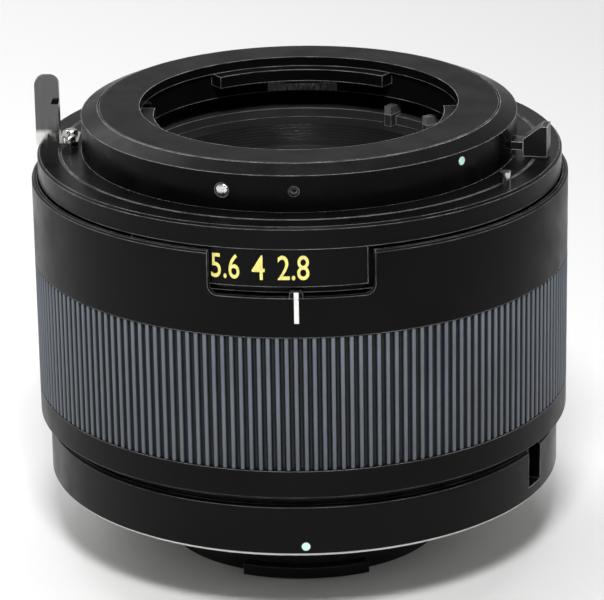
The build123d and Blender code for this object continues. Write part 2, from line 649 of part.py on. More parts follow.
def scale_ring():
    """The turning ring: shelf on top, thin skirt inside the barrel and the raised number pad."""
    skirt_low = FLANGE_LOW_Z - SKIRT_LENGTH
    chamfer_size = SCALE_EDGE_CHAMFER
    body = turned(
        [
            (SCALE_BORE_RADIUS, FLANGE_LOW_Z),
            (SKIRT_RADIUS - SKIRT_WALL, FLANGE_LOW_Z),
            (SKIRT_RADIUS - SKIRT_WALL, skirt_low),
            (SKIRT_RADIUS, skirt_low),
            (SKIRT_RADIUS, FLANGE_LOW_Z),
            (SCALE_RADIUS, FLANGE_LOW_Z),
            (SCALE_RADIUS, SHELF_Z - chamfer_size),
            (SCALE_RADIUS - chamfer_size, SHELF_Z),
            (SCALE_BORE_RADIUS, SHELF_Z),
        ]
    )
    pad_low = FLANGE_LOW_Z - PAD_LENGTH
    body += sector(SKIRT_RADIUS - SKIRT_WALL, PAD_RADIUS, pad_low, FLANGE_LOW_Z, PAD_START, PAD_END)
    line_outer = SHELF_LINE_RADIUS + SHELF_LINE_WIDTH
    body -= ring(SHELF_LINE_RADIUS, line_outer, SHELF_Z - SHELF_LINE_DEPTH, SHELF_Z + CUT_OVERRUN)
    clip_high = SHELF_Z - CLIP_DROP + TURN_CLEARANCE
    clip_low = SHELF_Z - CLIP_DROP - CLIP_THICKNESS - TURN_CLEARANCE
    body -= ring(SCALE_BORE_RADIUS - CUT_OVERRUN, CLIP_RADIUS + TURN_CLEARANCE, clip_low, clip_high)
    stud_hole = rod_up(STUD_SHANK_RADIUS, STUD_PLACE_RADIUS, SHELF_Z - STUD_SHANK_LENGTH, SHELF_Z)
    body -= facing(STUD_ANGLE, stud_hole)
    for side in (-LEVER_SCREW_OFFSET, LEVER_SCREW_OFFSET):
        hole = rod_up(SCREW_SHANK_RADIUS, LEVER_SCREW_RADIUS, SHELF_Z - LEVER_SCREW_LENGTH, SHELF_Z, side)
        body -= facing(LEVER_ANGLE, hole)
    return body


def scale_retaining_clip():
    """The open spring clip in the collar that keeps the scale ring down."""
    high = SHELF_Z - CLIP_DROP
    start = 180.0 + CLIP_GAP_ANGLE / 2
    end = start + FULL_TURN - CLIP_GAP_ANGLE
    return sector(CLIP_RADIUS - CLIP_WIDTH, CLIP_RADIUS, high - CLIP_THICKNESS, high, start, end)


def aperture_lever():
    """The bent sheet lever that the lens's ring pushes: foot, tall prong and side return."""
    foot_outer = LEVER_FOOT_OUTER_RADIUS
    foot = block(LEVER_FOOT_RADIUS, foot_outer, LEVER_FOOT_WIDTH, SHELF_Z, SHELF_Z + LEVER_SHEET)
    corners = foot.edges().filter_by(Axis.Z).group_by(Axis.X)[0]
    foot = chamfer(corners, LEVER_FOOT_CHAMFER)
    for side in (-LEVER_SCREW_OFFSET, LEVER_SCREW_OFFSET):
        foot -= rod_up(SCREW_SHANK_RADIUS, LEVER_SCREW_RADIUS, SHELF_Z, SHELF_Z + LEVER_SHEET, side)
    prong = block(foot_outer, LEVER_OUTER_RADIUS, LEVER_SHEET, SHELF_Z, SHELF_Z + LEVER_HEIGHT)
    tops = prong.edges().filter_by(Axis.Y).group_by(Axis.Z)[-1]
    prong = fillet(tops, LEVER_ROUND)
    back = Pos(0, (LEVER_RETURN_WIDTH - LEVER_SHEET) / 2, 0) * block(
        foot_outer, foot_outer + LEVER_SHEET, LEVER_RETURN_WIDTH, SHELF_Z, SHELF_Z + LEVER_RETURN_HEIGHT
    )
    return facing(LEVER_ANGLE, foot + prong + back)


def aperture_lever_screws():
    """Two screws through the lever's foot into the scale ring."""
    foot_top = SHELF_Z + LEVER_SHEET
    screws = []
    for side in (-LEVER_SCREW_OFFSET, LEVER_SCREW_OFFSET):
        low = SHELF_Z - LEVER_SCREW_LENGTH
        shank = rod_up(SCREW_SHANK_RADIUS, LEVER_SCREW_RADIUS, low, foot_top, side)
        head = rod_up(SCREW_HEAD_RADIUS, LEVER_SCREW_RADIUS, foot_top, foot_top + SCREW_HEAD_HEIGHT, side)
        screws.append(facing(LEVER_ANGLE, shank + head).solid())
    return Compound(screws)


def stop_stud():
    """The round stud on the shelf that ends the scale ring's turn."""
    shank = rod_up(STUD_SHANK_RADIUS, STUD_PLACE_RADIUS, SHELF_Z - STUD_SHANK_LENGTH, SHELF_Z)
    head = rod_up(STUD_RADIUS, STUD_PLACE_RADIUS, SHELF_Z, SHELF_Z + STUD_HEIGHT)
    return facing(STUD_ANGLE, shank + head)


def coupling_bars():
    """Three bars that carry the scale ring's turn down to the rear coupling ring."""
    bars = []
    for angle in BAR_ANGLES:
        start = angle - BAR_ANGLE_WIDTH / 2
        bar = sector(
            BAR_INNER_RADIUS,
            BAR_OUTER_RADIUS,
            COUPLING_RING_TOP_Z,
            FLANGE_LOW_Z,
            start,
            start + BAR_ANGLE_WIDTH,
        )
        bars.append(bar.solid())
    return Compound(bars)


def rear_coupling_ring():
    """The ring behind the camera-side plate, with the lug that turns the camera's own ring."""
    body = ring(BAR_INNER_RADIUS, BAR_OUTER_RADIUS, COUPLING_RING_LOW_Z, COUPLING_RING_TOP_Z)
    start = LUG_ANGLE - LUG_ANGLE_WIDTH / 2
    end = start + LUG_ANGLE_WIDTH
    low = COUPLING_RING_LOW_Z - LUG_LENGTH
    body += sector(BAR_INNER_RADIUS, BAR_OUTER_RADIUS, low, COUPLING_RING_LOW_Z, start, end)
    return body


def stop_down_ring():
    """The inner ring with two tabs that the lens's stop-down pin pushes."""
    top = STOP_RING_LOW_Z + STOP_RING_HEIGHT
    body = ring(STOP_RING_INNER, STOP_RING_OUTER, STOP_RING_LOW_Z, top)
    for angle in STOP_TAB_ANGLES:
        start = angle - STOP_TAB_WIDTH / 2
        tab_high = STOP_RING_LOW_Z + STOP_TAB_HEIGHT
        outer = STOP_RING_INNER + STOP_ARM_THICKNESS
        body += sector(STOP_TAB_RADIUS, outer, STOP_RING_LOW_Z, tab_high, start, start + STOP_TAB_WIDTH)
    return body


def stop_down_lever():
    """The bar from the stop-down ring to the tip inside the rear tube."""
    start = STOP_BAR_ANGLE - STOP_BAR_WIDTH / 2
    end = start + STOP_BAR_WIDTH
    arm_top = STOP_ARM_LOW_Z + STOP_ARM_THICKNESS
    bar = sector(STOP_BAR_INNER, STOP_BAR_OUTER, STOP_ARM_LOW_Z, STOP_RING_LOW_Z, start, end)
    arm = sector(STOP_TIP_RADIUS, STOP_BAR_OUTER, STOP_ARM_LOW_Z, arm_top, start, end)
    tip_outer = STOP_TIP_RADIUS + STOP_TIP_THICKNESS
    tip = sector(STOP_TIP_RADIUS, tip_outer, STOP_TIP_END, arm_top, start, end)
    return bar + arm + tip


def release_slider():
    """The flat tongue that locks the lens and slides out through the collar."""
    tongue = block(TONGUE_TIP_RADIUS, RELEASE_INNER, TONGUE_WIDTH, TONGUE_LOW_Z, TONGUE_TOP_Z)
    tips = tongue.edges().filter_by(Axis.Z).group_by(Axis.X)[0]
    return facing(RELEASE_ANGLE, chamfer(tips, TONGUE_CHAMFER))


def release_block():
    """The thumb block outside the collar, its top rising outward."""
    low = SHELF_Z + FREE_CLEARANCE
    outline = Polyline(
        (RELEASE_INNER, low),
        (RELEASE_OUTER, low),
        (RELEASE_OUTER, low + RELEASE_HEIGHT),
        (RELEASE_OUTER - RELEASE_FLAT, low + RELEASE_HEIGHT),
        (RELEASE_INNER, low + RELEASE_LOW_HEIGHT),
        close=True,
    )
    face = Plane.XZ * make_face(outline)
    return facing(RELEASE_ANGLE, Pos(0, RELEASE_WIDTH / 2, 0) * extrude(face, RELEASE_WIDTH))


def release_leaf_spring():
    """The leaf spring in the slot's roof that pushes the tongue inward."""
    low = TONGUE_TOP_Z + FREE_CLEARANCE
    return facing(RELEASE_ANGLE, block(LEAF_INNER, LEAF_OUTER, LEAF_WIDTH, low, low + LEAF_THICKNESS))


def rear_mount_ring():
    """The camera-side ring: seat plate, wall round the spigot and the lock notch."""
    chamfer_size = REAR_EDGE_CHAMFER
    flange_top = REAR_SEAT_Z + REAR_FLANGE_THICKNESS
    body = turned(
        [
            (REAR_SEAT_RADIUS, REAR_SEAT_Z),
            (REAR_RING_RADIUS - chamfer_size, REAR_SEAT_Z),
            (REAR_RING_RADIUS, REAR_SEAT_Z + chamfer_size),
            (REAR_RING_RADIUS, REAR_RING_TOP_Z - chamfer_size),
            (REAR_RING_RADIUS - chamfer_size, REAR_RING_TOP_Z),
            (SPIGOT_RADIUS + FIT_CLEARANCE, REAR_RING_TOP_Z),
            (SPIGOT_RADIUS + FIT_CLEARANCE, REAR_PLATE_TOP_Z),
            (REAR_LEDGE_RADIUS, REAR_PLATE_TOP_Z),
            (REAR_LEDGE_RADIUS, flange_top),
            (REAR_SEAT_RADIUS, flange_top),
        ]
    )
    body -= travel_slot(
        BAR_INNER_RADIUS - FREE_CLEARANCE,
        BAR_OUTER_RADIUS + FREE_CLEARANCE,
        REAR_SEAT_Z - CUT_OVERRUN,
        REAR_PLATE_TOP_Z + CUT_OVERRUN,
        LUG_ANGLE,
        LUG_ANGLE_WIDTH,
        SCALE_TURN,
    )
    notch_low = REAR_RING_TOP_Z - LOCK_NOTCH_DEPTH
    notch_outer = REAR_RING_RADIUS + CUT_OVERRUN
    notch = block(SPIGOT_RADIUS, notch_outer, LOCK_NOTCH_WIDTH, notch_low, REAR_RING_TOP_Z + CUT_OVERRUN)
    body -= facing(LOCK_NOTCH_ANGLE, notch)
    pocket = rod_out(DOT_RADIUS, REAR_RING_RADIUS - DOT_THICKNESS, notch_outer, REAR_DOT_Z)
    body -= facing(REAR_DOT_ANGLE, pocket)
    for angle in REAR_SCREW_ANGLES:
        body -= facing(angle, rear_screw_solid())
    return body


def rear_index_dot():
    """The round mounting mark on the rear ring."""
    inner = REAR_RING_RADIUS - DOT_THICKNESS
    return facing(REAR_DOT_ANGLE, rod_out(DOT_RADIUS, inner, REAR_RING_RADIUS + DOT_STAND, REAR_DOT_Z))


def rear_screw_solid():
    """A rear screw with its head sunk flush, drawn on the +X side."""
    head_top = REAR_SEAT_Z + REAR_SCREW_HEAD_HEIGHT
    head = rod_up(REAR_SCREW_HEAD_RADIUS, REAR_SCREW_PLACE_RADIUS, REAR_SEAT_Z, head_top)
    end = REAR_SEAT_Z + REAR_SCREW_LENGTH
    return head + rod_up(REAR_SCREW_SHANK_RADIUS, REAR_SCREW_PLACE_RADIUS, REAR_SEAT_Z, end)


def rear_mount_screws():
    """The screws that hold the male bayonet to the rear ring."""
    return Compound([facing(angle, rear_screw_solid()).solid() for angle in REAR_SCREW_ANGLES])


def rear_bayonet():
    """The male bayonet: flange, tube and three outward claws."""
    inner = REAR_TUBE_RADIUS - REAR_TUBE_WALL
    flange_top = REAR_SEAT_Z + REAR_FLANGE_THICKNESS
    body = ring(inner, REAR_TUBE_RADIUS, 0, REAR_SEAT_Z)
    body += ring(inner, REAR_SEAT_RADIUS - FIT_CLEARANCE, REAR_SEAT_Z, flange_top)
    low = REAR_CLAW_RISE
    for index in range(CLAW_COUNT):
        start = REAR_CLAW_MIDDLE + index * FULL_TURN / CLAW_COUNT - REAR_CLAW_ANGLE / 2
        wall = REAR_TUBE_RADIUS - REAR_TUBE_WALL / 2
        body += sector(wall, REAR_CLAW_RADIUS, low, low + REAR_CLAW_THICKNESS, start, start + REAR_CLAW_ANGLE)
    for angle in REAR_SCREW_ANGLES:
        body -= facing(angle, rear_screw_solid())
    return body


def rear_light_mask():
    """The blackened mask with a rectangular window above the rear tube."""
    low = REAR_SEAT_Z + REAR_FLANGE_THICKNESS
    body = disc(REAR_LEDGE_RADIUS - FIT_CLEARANCE, low, low + MASK_THICKNESS)
    length = 2 * REAR_LEDGE_RADIUS * MASK_WINDOW_LENGTH_SHARE
    width = 2 * REAR_LEDGE_RADIUS * MASK_WINDOW_WIDTH_SHARE
    window = Box(length, width, REAR_FLANGE_THICKNESS + MASK_THICKNESS)
    body -= Pos(0, 0, low) * window
    body -= travel_slot(
        STOP_TIP_RADIUS - FREE_CLEARANCE,
        STOP_TIP_RADIUS + STOP_TIP_THICKNESS + FREE_CLEARANCE,
        low - CUT_OVERRUN,
        low + CUT_OVERRUN,
        STOP_BAR_ANGLE,
        STOP_BAR_WIDTH,
        STOP_DOWN_TURN,
    )
    return body


def optical_cell():
    """The lens cell on the barrel's web, wide in front and narrow behind."""
    flange_top = WEB_TOP_Z + CELL_FLANGE_THICKNESS
    step = CELL_STEP_Z - CELL_WALL_STEP
    body = turned(
        [
            (CELL_REAR_GLASS_RADIUS, CELL_LOW_Z),
            (CELL_REAR_RADIUS, CELL_LOW_Z),
            (CELL_REAR_RADIUS, step),
            (CELL_RADIUS, step),
            (CELL_RADIUS, WEB_TOP_Z),
            (CELL_FLANGE_RADIUS, WEB_TOP_Z),
            (CELL_FLANGE_RADIUS, flange_top),
            (CELL_RADIUS, flange_top),
            (CELL_RADIUS, BAFFLE_LOW_Z),
            (CELL_GLASS_RADIUS, BAFFLE_LOW_Z),
            (CELL_GLASS_RADIUS, CELL_STEP_Z),
            (CELL_LIP_RADIUS, CELL_STEP_Z),
            (CELL_LIP_RADIUS, CELL_STEP_Z - CELL_LIP),
            (CELL_REAR_GLASS_RADIUS, CELL_STEP_Z - CELL_LIP),
        ]
    )
    for angle in CELL_SCREW_ANGLES:
        body -= facing(angle, rod_up(CELL_SCREW_SHANK_RADIUS, CELL_SCREW_PLACE_RADIUS, WEB_TOP_Z, flange_top))
    return body


def cell_screws():
    """Three screws that hold the cell's flange down on the web."""
    flange_top = WEB_TOP_Z + CELL_FLANGE_THICKNESS
    shank_end = WEB_TOP_Z - CELL_SCREW_LENGTH
    shank = rod_up(CELL_SCREW_SHANK_RADIUS, CELL_SCREW_PLACE_RADIUS, shank_end, flange_top)
    head = rod_up(CELL_SCREW_HEAD_RADIUS, CELL_SCREW_PLACE_RADIUS, flange_top, flange_top + SCREW_HEAD_HEIGHT)
    return Compound([facing(angle, shank + head).solid() for angle in CELL_SCREW_ANGLES])


def glass_edge(radius, edge_z, sag):
    """Half of a lens's curved face in the turning plane, from the axis to its flat land."""
    apex = (0, edge_z + sag)
    rim = (radius, edge_z)
    if sag == 0:
        return Line(apex, rim)
    bend = (radius**2 + sag**2) / (2 * abs(sag))
    half = asin(radius / bend) / 2
    middle = (bend * sin(half), edge_z + sag - copysign(bend * (1 - cos(half)), sag))
    return ThreePointArc(apex, middle, rim)


def glass(radius, low, high, sags):
    """A round element whose lower and upper faces rise at the middle by their two sags."""
    low_face = glass_edge(radius - GLASS_LAND, low, sags[0])
    high_face = glass_edge(radius - GLASS_LAND, high, sags[1])
    axis_side = Line(low_face @ 0, high_face @ 0)
    low_land = Line(low_face @ 1, (radius, low))
    rim_side = Line((radius, low), (radius, high))
    high_land = Line((radius, high), high_face @ 1)
    face = make_face([low_face, low_land, rim_side, high_land, high_face, axis_side])
    return revolve(Plane.XZ * face, Axis.Z)


def front_group():
    """The glass, spacers and ring of the wide front chamber, from its top down."""
    glass_radius = CELL_GLASS_RADIUS - FIT_CLEARANCE
    spacer_radius = glass_radius - SPACER_WIDTH
    retainer_low = BAFFLE_LOW_Z - RETAINER_HEIGHT
    front_low = retainer_low - FRONT_EDGE
    spacer_low = front_low - FRONT_SPACER_HEIGHT
    second_low = spacer_low - SECOND_EDGE
    third_low = second_low - THIRD_EDGE
    middle_low = third_low - MIDDLE_SPACER_HEIGHT
    return {
        "front_retaining_ring": ring(glass_radius - RETAINER_WIDTH, glass_radius, retainer_low, BAFFLE_LOW_Z),
        "front_element": glass(glass_radius, front_low, retainer_low, FRONT_SAGS),
        "front_spacer": ring(spacer_radius, glass_radius, spacer_low, front_low),
        "second_element": glass(glass_radius, second_low, spacer_low, SECOND_SAGS),
        "third_element": glass(glass_radius, third_low, second_low, THIRD_SAGS),
        "middle_spacer": ring(spacer_radius, glass_radius, middle_low, third_low),
        "fourth_element": glass(glass_radius, CELL_STEP_Z, middle_low, FOURTH_SAGS),
    }


def rear_group():
    """The glass, spacer and ring of the narrow rear chamber, from its lip down."""
    glass_radius = CELL_REAR_GLASS_RADIUS - FIT_CLEARANCE
    spacer_radius = glass_radius - SPACER_WIDTH
    lip_z = CELL_STEP_Z - CELL_LIP
    fifth_low = lip_z - FIFTH_EDGE
    spacer_low = fifth_low - REAR_SPACER_HEIGHT
    sixth_low = spacer_low - SIXTH_EDGE
    return {
        "fifth_element": glass(glass_radius, fifth_low, lip_z, FIFTH_SAGS),
        "rear_spacer": ring(spacer_radius, glass_radius, spacer_low, fifth_low),
        "sixth_element": glass(glass_radius, sixth_low, spacer_low, SIXTH_SAGS),
        "rear_retaining_ring": ring(glass_radius - RETAINER_WIDTH, glass_radius, CELL_LOW_Z, sixth_low),
    }


def all_nodes():
    """Every node of the assembly by name."""
    builders = (
        main_barrel,
        grip_sleeve,
        front_collar,
        collar_screws,
        collar_set_screw,
        front_index_dot,
        front_bayonet_ring,
        bayonet_springs,
        bayonet_spring_screws,
        bayonet_stop_pin,
        front_light_baffle,
        scale_ring,
        scale_retaining_clip,
        aperture_lever,
        aperture_lever_screws,
        stop_stud,
        coupling_bars,
        rear_coupling_ring,
        stop_down_ring,
        stop_down_lever,
        release_slider,
        release_block,
        release_leaf_spring,
        rear_mount_ring,
        rear_index_dot,
        rear_mount_screws,
        rear_bayonet,
        rear_light_mask,
        optical_cell,
        cell_screws,
    )
    nodes = {builder.__name__: builder() for builder in builders}
    nodes.update(front_group())
    nodes.update(rear_group())
    return nodes


os.makedirs("parts", exist_ok=True)
for name, shape in all_nodes().items():
    export_step(shape, f"parts/{name}.step")
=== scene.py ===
import json
from math import cos, pi, radians, sin

import bmesh
import bpy
from mathutils import Matrix, Vector


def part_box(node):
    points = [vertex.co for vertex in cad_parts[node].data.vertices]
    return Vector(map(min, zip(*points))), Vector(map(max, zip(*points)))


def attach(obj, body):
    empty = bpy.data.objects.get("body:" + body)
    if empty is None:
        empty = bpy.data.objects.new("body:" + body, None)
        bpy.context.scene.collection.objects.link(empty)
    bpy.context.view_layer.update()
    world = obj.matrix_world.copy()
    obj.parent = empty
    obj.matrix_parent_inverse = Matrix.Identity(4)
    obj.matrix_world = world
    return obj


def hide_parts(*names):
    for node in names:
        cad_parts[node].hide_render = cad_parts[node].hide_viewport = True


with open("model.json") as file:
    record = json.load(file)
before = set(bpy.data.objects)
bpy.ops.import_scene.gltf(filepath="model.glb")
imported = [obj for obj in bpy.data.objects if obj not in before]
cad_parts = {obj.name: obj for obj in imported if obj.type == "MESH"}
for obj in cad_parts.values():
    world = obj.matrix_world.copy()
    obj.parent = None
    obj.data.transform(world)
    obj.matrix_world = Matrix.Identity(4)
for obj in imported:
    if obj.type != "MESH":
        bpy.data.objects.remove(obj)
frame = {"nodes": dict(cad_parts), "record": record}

# Lengths are metres. Angles round the axis are in degrees from the front (-Y) towards +X.
MM = 0.001

# Camera, as fitted to the photograph's circles
CAMERA_ELEVATION = 20.06
CAMERA_ROLL = -0.95
CAMERA_DISTANCE = 447.5 * MM
CAMERA_LENS = 213.5
CAMERA_TARGET_Z = 29.57 * MM

# Shading of edges
SMOOTH_ANGLE = radians(28)
EDGE_WIDTH = 0.15 * MM
EDGE_SEGMENTS = 2

# Grip ribs: place across one rib and how deep the surface lies there, both as shares
RIB_COUNT = 190
RIB_DEPTH = 0.5 * MM
RIB_SHARES = (
    (0.00, 0.45),
    (0.06, 0.12),
    (0.13, 0.00),
    (0.37, 0.00),
    (0.44, 0.12),
    (0.50, 0.45),
    (0.59, 0.90),
    (0.66, 1.00),
    (0.84, 1.00),
    (0.91, 0.90),
)
RIB_END = 0.18 * MM
GRIP_WALL = 1.2 * MM

# Numbers and the index line: text, angle, width
NUMBERS = (("5.6", -15.95, 3.4 * MM), ("4", -8.95, 1.5 * MM), ("2.8", -1.65, 3.65 * MM))
NUMBER_HEIGHT = 3.0 * MM
NUMBER_BOLDNESS = 0.006
NUMBER_LOW_Z = 43.7 * MM
NUMBER_RADIUS = 32.05 * MM
PAINT_THICKNESS = 0.03 * MM
INDEX_ANGLE = -1.15
INDEX_WIDTH = 0.55 * MM
INDEX_LOW_Z = 38.7 * MM
INDEX_HIGH_Z = 42.5 * MM
TAB_WIDTH = 1.6 * MM
TAB_LOW_Z = 41.7 * MM
TAB_HIGH_Z = 42.6 * MM
TAB_THICKNESS = 0.6 * MM
TAB_CORNER = 0.25 * MM
BARREL_RADIUS = 33.0 * MM

# Screw heads: place radius, angles and levels follow the sunk heads of the frame
COLLAR_RADIUS = 26.7 * MM
COLLAR_SCREW_ANGLES = (-20.0, 100.0, 220.0)
COLLAR_SCREW_Z = 52.5 * MM
SET_SCREW_ANGLE = -1.6
SET_SCREW_Z = 52.7 * MM
SET_SCREW_RECESS = 0.35 * MM
REAR_SCREW_ANGLES = (45.0, 135.0, 225.0, 315.0)
REAR_SCREW_PLACE_RADIUS = 22.325 * MM
REAR_SEAT_Z = 8.8 * MM
REAR_HEAD_SUNK = 0.8 * MM
LEVER_BRIGHT_Z = 51.6 * MM
LEVER_DARK_Z = 52.2 * MM
STOP_TAB_BLACK_Z = 48.7 * MM
STOP_TAB_BARE_Z = 48.9 * MM
LEVER_ANGLE = -92.5
LEVER_SCREW_RADIUS = 28.25 * MM
LEVER_SCREW_OFFSET = 1.3 * MM
LEVER_FOOT_TOP_Z = 51.05 * MM

# Stage: half side of the floor, then each light's name, place, size, power and aim if it has its own
FLOOR_HALF = 3.0
LIGHTS = (
    ("back_left", (-0.45, 0.50, 0.60), (0.55, 0.45), 2.4),
    ("left_strip", (-0.60, -0.05, 0.16), (0.16, 0.34), 0.3),
    ("overhead", (0.0, 0.15, 0.80), (0.50, 0.10), 3.0),
    ("front_high", (0.0, -0.30, 0.42), (0.10, 0.10), 2.6, (0.0, 0.018, 0.044)),
    ("right_strip", (0.62, 0.05, 0.20), (0.16, 0.34), 0.4),
)


def node_material(name, build):
    """A new material whose node tree the given function fills in."""
    material = bpy.data.materials.new(name)
    material.use_nodes = True
    tree = material.node_tree
    build(tree, tree.nodes["Principled BSDF"])
    return material


def add(tree, kind, **values):
    """A new node with its inputs or properties set by name."""
    node = tree.nodes.new(kind)
    for key, value in values.items():
        if key in node.inputs:
            node.inputs[key].default_value = value
        else:
            setattr(node, key, value)
    return node


def object_noise(tree, scale, detail=3.0):
    """Noise in object coordinates, in features per metre."""
    coordinates = add(tree, "ShaderNodeTexCoord")
    noise = add(tree, "ShaderNodeTexNoise", Scale=scale, Detail=detail)
    tree.links.new(coordinates.outputs["Object"], noise.inputs["Vector"])
    return noise.outputs["Fac"]


def ramp(tree, source, low, high, low_place=0.35, high_place=0.65):
    """A smooth mix of two greys or colours along a value."""
    node = add(tree, "ShaderNodeValToRGB")
    stops = node.color_ramp.elements
    stops[0].position, stops[1].position = low_place, high_place
    stops[0].color = colour(low)
    stops[1].color = colour(high)
    tree.links.new(source, node.inputs["Fac"])
    return node.outputs["Color"]


def colour(value):
    """A grey number or an RGB triple as RGBA."""
    if isinstance(value, (int, float)):
        return (value, value, value, 1.0)
    return (*value, 1.0)


def edge_mask(tree, width):
    """Nearly 1 on edges and 0 on open faces, from a rounded copy of the normal."""
    rounded = add(tree, "ShaderNodeBevel", samples=6, Radius=width)
    plain = add(tree, "ShaderNodeNewGeometry")
    product = add(tree, "ShaderNodeVectorMath", operation="DOT_PRODUCT")
    tree.links.new(rounded.outputs["Normal"], product.inputs[0])
    tree.links.new(plain.outputs["Normal"], product.inputs[1])
    node = add(tree, "ShaderNodeMapRange")
    node.inputs["From Min"].default_value = 0.995
    node.inputs["From Max"].default_value = 0.90
    tree.links.new(product.outputs["Value"], node.inputs["Value"])
    return node.outputs["Result"]


def bump(tree, shader, source, strength, distance):
    """Bump from a height value."""
    node = add(tree, "ShaderNodeBump", Strength=strength, Distance=distance)
    tree.links.new(source, node.inputs["Height"])
    tree.links.new(node.outputs["Normal"], shader.inputs["Normal"])


def black_metal(name, base, rough, specular, edge_wear_and_highlight_grey, grain=0.25, metallic=0.0):
    """Black finish on metal: fine grain, faint handling marks and lighter edges that stand partly for
    wear and partly for painted highlights.
    """

    def build(tree, shader):
        cloud = object_noise(tree, 60.0)
        tone = ramp(tree, cloud, tuple(0.75 * c for c in base), tuple(1.3 * c for c in base))
        mix = add(tree, "ShaderNodeMix", data_type="RGBA")
        # Edge mask times patchy noise: the lighter grey on edges is partly wear and partly painted
        # highlight.
        edge_wear_and_highlight = add(tree, "ShaderNodeMath", operation="MULTIPLY")
        tree.links.new(edge_mask(tree, 0.16 * MM), edge_wear_and_highlight.inputs[0])
        tree.links.new(ramp(tree, object_noise(tree, 420.0), 0.35, 1.0), edge_wear_and_highlight.inputs[1])
        tree.links.new(edge_wear_and_highlight.outputs["Value"], mix.inputs["Factor"])
        tree.links.new(tone, mix.inputs["A"])
        mix.inputs["B"].default_value = colour(edge_wear_and_highlight_grey)
        tree.links.new(mix.outputs["Result"], shader.inputs["Base Color"])
        rough_map = ramp(tree, object_noise(tree, 240.0, 5.0), rough - 0.05, rough + 0.07)
        tree.links.new(rough_map, shader.inputs["Roughness"])
        shader.inputs["Specular IOR Level"].default_value = specular
        shader.inputs["Metallic"].default_value = metallic
        bump(tree, shader, object_noise(tree, 9000.0, 2.0), grain, 0.01 * MM)

    return node_material(name, build)


def object_radius(tree):
    """Distance from the axis in object coordinates."""
    coordinates = add(tree, "ShaderNodeTexCoord")
    flat = add(tree, "ShaderNodeVectorMath", operation="MULTIPLY")
    flat.inputs[1].default_value = (1.0, 1.0, 0.0)
    length = add(tree, "ShaderNodeVectorMath", operation="LENGTH")
    tree.links.new(coordinates.outputs["Object"], flat.inputs[0])
    tree.links.new(flat.outputs["Vector"], length.inputs[0])
    return length.outputs["Value"]


def object_height(tree):
    """Height above the floor in object coordinates."""
    coordinates = add(tree, "ShaderNodeTexCoord")
    parts = add(tree, "ShaderNodeSeparateXYZ")
    tree.links.new(coordinates.outputs["Object"], parts.inputs["Vector"])
    return parts.outputs["Z"]


def band(tree, source, start, end):
    """0 at start and 1 at end, held beyond both."""
    node = add(tree, "ShaderNodeMapRange")
    node.inputs["From Min"].default_value = start
    node.inputs["From Max"].default_value = end
    tree.links.new(source, node.inputs["Value"])
    return node.outputs["Result"]


def rubber(name, painted_groove_shade, crest):
    """Matt rubber, painted near-black in its grooves as shade, its own blue-grey on the crests varied
    by dust, with a fine moulded grain.
    """

    def build(tree, shader):
        dust = object_noise(tree, 130.0, 6.0)
        worn = ramp(tree, dust, crest, tuple(1.35 * c for c in crest), 0.3, 0.75)
        mix = add(tree, "ShaderNodeMix", data_type="RGBA")
        # Painted shade: the surface turns to the dark groove colour as it sinks below the crests.
        height = band(tree, object_radius(tree), BARREL_RADIUS - 0.22 * MM, BARREL_RADIUS - 0.03 * MM)
        tree.links.new(height, mix.inputs["Factor"])
        mix.inputs["A"].default_value = colour(painted_groove_shade)
        tree.links.new(worn, mix.inputs["B"])
        tree.links.new(mix.outputs["Result"], shader.inputs["Base Color"])
        tree.links.new(ramp(tree, dust, 0.46, 0.62), shader.inputs["Roughness"])
        shader.inputs["Specular IOR Level"].default_value = 0.35
        bump(tree, shader, object_noise(tree, 6000.0, 3.0), 0.35, 0.02 * MM)

    return node_material(name, build)


def turned_black(name, base):
    """Blackened metal with the fine rings that a lathe leaves."""

    def build(tree, shader):
        shader.inputs["Base Color"].default_value = colour(base)
        coordinates = add(tree, "ShaderNodeTexCoord")
        rings = add(tree, "ShaderNodeTexWave", bands_direction="Z", Scale=785.0, Distortion=0.3)
        tree.links.new(coordinates.outputs["Object"], rings.inputs["Vector"])
        tree.links.new(ramp(tree, object_noise(tree, 300.0), 0.30, 0.42), shader.inputs["Roughness"])
        shader.inputs["Specular IOR Level"].default_value = 0.55
        bump(tree, shader, rings.outputs["Fac"], 0.5, 0.05 * MM)

    return node_material(name, build)


def height_finish(material, start_z, end_z, tone, bare):
    """The same finish, changing to another tone between two heights, and to bare metal if asked."""
    tree = material.node_tree
    shader = tree.nodes["Principled BSDF"]
    plain = shader.inputs["Base Color"].links[0].from_socket
    change = band(tree, object_height(tree), start_z, end_z)
    mix = add(tree, "ShaderNodeMix", data_type="RGBA")
    tree.links.new(change, mix.inputs["Factor"])
    tree.links.new(plain, mix.inputs["A"])
    mix.inputs["B"].default_value = colour(tone)
    tree.links.new(mix.outputs["Result"], shader.inputs["Base Color"])
    if bare:
        tree.links.new(change, shader.inputs["Metallic"])
    return material


def bright_metal(name, base, rough):
    """Plated steel with fine drawn scratches."""

    def build(tree, shader):
        coordinates = add(tree, "ShaderNodeTexCoord")
        stretch = add(tree, "ShaderNodeMapping")
        stretch.inputs["Scale"].default_value = (1.0, 1.0, 0.06)
        scratches = add(tree, "ShaderNodeTexNoise", Scale=7000.0, Detail=2.0)
        tree.links.new(coordinates.outputs["Object"], stretch.inputs["Vector"])
        tree.links.new(stretch.outputs["Vector"], scratches.inputs["Vector"])
        tone = ramp(tree, object_noise(tree, 500.0), tuple(0.82 * c for c in base), base)
        tree.links.new(tone, shader.inputs["Base Color"])
        rough_map = ramp(tree, scratches.outputs["Fac"], rough - 0.05, rough + 0.08)
        tree.links.new(rough_map, shader.inputs["Roughness"])
        shader.inputs["Metallic"].default_value = 1.0
        bump(tree, shader, scratches.outputs["Fac"], 0.15, 0.01 * MM)

    return node_material(name, build)


